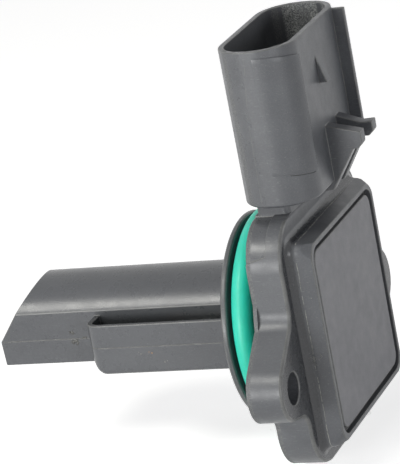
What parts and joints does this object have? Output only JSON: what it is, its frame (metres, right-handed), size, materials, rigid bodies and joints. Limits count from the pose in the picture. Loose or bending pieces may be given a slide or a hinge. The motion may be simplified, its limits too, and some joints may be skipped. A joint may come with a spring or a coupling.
{
  "type": "mass airflow sensor",
  "caption": "Plug-in mass airflow sensor: half-round probe with a side pocket, sealing ring, two-ear flange, lidded circuit box and plug socket.",
  "frame": {"origin": "On the axis of the probe, in the plane of the flange face that seats on the intake pipe", "axes": "+X runs along the probe axis away from its tip, out through the lid; +Y runs across the flange from one screw ear to the other; +Z runs along the plug socket towards its mouth"},
  "size_m": [0.0744, 0.064, 0.0763],
  "materials": {
    "housing_plastic": "dark grey glass-filled plastic, moulded, with a fine texture",
    "lid_plastic": "dark grey plastic, flat and matt",
    "sealant": "black silicone bead",
    "ring_rubber": "turquoise rubber, smooth with a soft sheen",
    "base_metal": "rolled aluminium",
    "board_ceramic": "white fired substrate",
    "chip_plastic": "black moulded package",
    "capacitor_ceramic": "tan ceramic body",
    "resistor_ceramic": "dark glazed film",
    "tinned_metal": "tin-plated brass",
    "element_ceramic": "glass-coated white core",
    "bead_resin": "dipped resin",
    "strap_metal": "gold-plated strip",
    "gel": "soft clear protective gel"
  },
  "bodies": {
    "root": {"housing": "housing_plastic", "probe_body": "housing_plastic", "bypass_cover": "housing_plastic", "lid": "lid_plastic", "lid_sealant": "sealant", "sealing_ring": "ring_rubber", "base_plate": "base_metal", "circuit_board": "board_ceramic", "control_chip": "chip_plastic", "amplifier_chip": "chip_plastic", "capacitors": "capacitor_ceramic", "resistors": "resistor_ceramic", "sensing_posts": "tinned_metal", "hot_element": "element_ceramic", "cold_element": "element_ceramic", "temperature_bead": "bead_resin", "bead_leads": "tinned_metal", "bonding_straps": "strap_metal", "gel_filling": "gel", "terminal_1": "tinned_metal", "terminal_2": "tinned_metal", "terminal_3": "tinned_metal", "terminal_4": "tinned_metal", "terminal_5": "tinned_metal", "terminal_6": "tinned_metal"}
  },
  "joints": []
}
